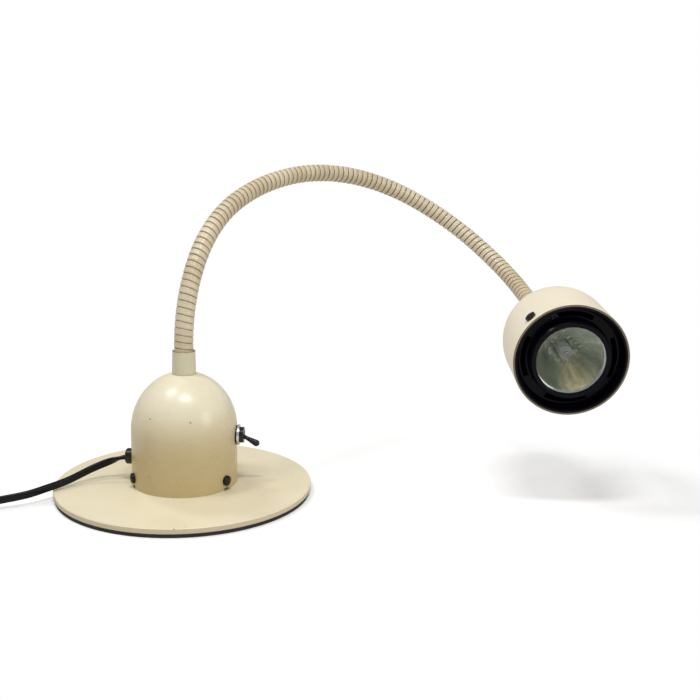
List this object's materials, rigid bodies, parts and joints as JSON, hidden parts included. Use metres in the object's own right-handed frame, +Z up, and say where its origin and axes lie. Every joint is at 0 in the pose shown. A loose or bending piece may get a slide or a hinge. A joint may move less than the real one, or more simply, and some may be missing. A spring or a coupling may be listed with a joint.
{
  "type": "gooseneck desk lamp",
  "caption": "Free-standing desk lamp: domed transformer housing on a round weighted plate, flexible wound-steel neck and a domed shade for a low-voltage reflector lamp.",
  "frame": {"origin": "centre of the rubber pad's underside, on the surface the lamp stands on", "axes": "+Z up; +X from the housing towards the side the lamp head hangs over and the switch is on; +Y to the back, where the neck first leans"},
  "size_m": [0.526, 0.3688, 0.2325],
  "materials": {
    "pad_rubber": "matte black rubber sheet",
    "plate_paint": "cream enamel, semi-gloss, chipped along the edge",
    "housing_paint": "cream enamel, semi-gloss",
    "shade_paint": "cream enamel, semi-gloss",
    "neck_paint": "cream enamel on a wound steel strip, satin",
    "ferrule_paint": "cream-grey enamel, satin",
    "bezel_paint": "gloss black enamel",
    "black_screw": "gloss black coated steel",
    "zinc_steel": "zinc-plated steel",
    "core_steel": "varnished silicon-steel laminations",
    "winding_copper": "enamelled copper wire",
    "moulding_ivory": "ivory moulded nylon",
    "lead_black": "black insulated lead",
    "lead_colour": "brown and blue insulated cores",
    "switch_moulding": "black phenolic moulding",
    "switch_brass": "bare brass",
    "switch_nickel": "nickel-plated brass",
    "switch_black": "glossy black",
    "gland_black": "black moulded nylon, softly glossy",
    "cord_black": "black flexible PVC sheath",
    "plug_metal": "nickel-plated brass",
    "socket_ceramic": "white steatite ceramic",
    "reflector_glass": "faceted glass with a dichroic mirror coating",
    "clear_glass": "clear cover glass",
    "quartz_glass": "clear quartz"
  },
  "bodies": {
    "base": {"base_pad": "pad_rubber", "base_plate": "plate_paint", "chassis": "zinc_steel", "chassis_screws": "zinc_steel", "chassis_nuts": "zinc_steel", "housing": "housing_paint", "housing_screws": "black_screw", "transformer_core": "core_steel", "transformer_bobbin": "moulding_ivory", "primary_winding": "winding_copper", "secondary_winding": "winding_copper", "transformer_strap": "zinc_steel", "strap_screws": "zinc_steel", "terminal_block": "moulding_ivory", "mains_leads": "lead_colour", "lamp_lead_foot": "lead_black", "neck_nipple": "zinc_steel", "neck_washer": "zinc_steel", "neck_locknut": "zinc_steel", "ferrule": "ferrule_paint", "switch_body": "switch_moulding", "switch_blades": "switch_brass", "switch_bushing": "switch_nickel", "switch_gasket": "switch_black", "switch_washer": "switch_nickel", "switch_nut": "switch_black", "cable_gland": "gland_black", "mains_cord": "cord_black", "cord_coil": "cord_black", "plug_body": "cord_black", "plug_pins": "plug_metal", "neck_root": "neck_paint"},
    "neck_1": {"neck_section_1": "neck_paint", "lamp_lead_1": "lead_black"},
    "neck_2": {"neck_section_2": "neck_paint", "lamp_lead_2": "lead_black"},
    "neck_3": {"neck_section_3": "neck_paint", "lamp_lead_3": "lead_black"},
    "neck_4": {"neck_section_4": "neck_paint", "lamp_lead_4": "lead_black"},
    "neck_5": {"neck_section_5": "neck_paint", "lamp_lead_5": "lead_black"},
    "neck_6": {"neck_section_6": "neck_paint", "lamp_lead_6": "lead_black"},
    "neck_7": {"neck_section_7": "neck_paint", "lamp_lead_7": "lead_black"},
    "head": {"neck_section_8": "neck_paint", "lamp_lead_8": "lead_black", "shade": "shade_paint", "shade_screws": "black_screw", "head_nipple": "zinc_steel", "head_locknut": "zinc_steel", "socket_bracket": "zinc_steel", "lamp_socket": "socket_ceramic", "head_leads": "lead_black", "bezel": "bezel_paint", "lamp_reflector": "reflector_glass", "lamp_glass": "clear_glass", "lamp_capsule": "quartz_glass"},
    "lever": {"switch_lever": "switch_black"}
  },
  "joints": [
    {"name": "neck_bend_1", "type": "hinge", "parent": "base", "child": "neck_1", "pos_m": [0, 0, 0.10504], "axis": [0, 1, 0], "range_deg": [-35, 10]},
    {"name": "neck_bend_2", "type": "hinge", "parent": "neck_1", "child": "neck_2", "pos_m": [0.00688, 0.01702, 0.16325], "axis": [0.9746, -0.0628, -0.2149], "range_deg": [-30, 30]},
    {"name": "neck_bend_3", "type": "hinge", "parent": "neck_2", "child": "neck_3", "pos_m": [0.02877, 0.05813, 0.2031], "axis": [-0.2045, 0.5786, -0.7896], "range_deg": [-30, 25]},
    {"name": "neck_bend_4", "type": "hinge", "parent": "neck_3", "child": "neck_4", "pos_m": [0.06568, 0.10353, 0.22262], "axis": [0.6581, -0.5291, -0.5357], "range_deg": [-30, 30]},
    {"name": "neck_bend_5", "type": "hinge", "parent": "neck_4", "child": "neck_5", "pos_m": [0.11458, 0.14093, 0.2239], "axis": [-0.3846, 0.4109, -0.8266], "range_deg": [-30, 30]},
    {"name": "neck_bend_6", "type": "hinge", "parent": "neck_5", "child": "neck_6", "pos_m": [0.16896, 0.1624, 0.20494], "axis": [-0.0283, -0.9119, -0.4095], "range_deg": [-25, 30]},
    {"name": "neck_bend_7", "type": "hinge", "parent": "neck_6", "child": "neck_7", "pos_m": [0.21965, 0.156, 0.17148], "axis": [-0.4704, 0.3681, -0.802], "range_deg": [-30, 25]},
    {"name": "neck_bend_8", "type": "hinge", "parent": "neck_7", "child": "head", "pos_m": [0.25177, 0.11584, 0.13909], "axis": [-0.8709, -0.4114, 0.2687], "range_deg": [-25, 30]},
    {"name": "switch_throw", "type": "hinge", "parent": "base", "child": "lever", "pos_m": [0.0398, 0, 0.0411], "axis": [0, -1, 0], "range_deg": [0, 56]}
  ]
}
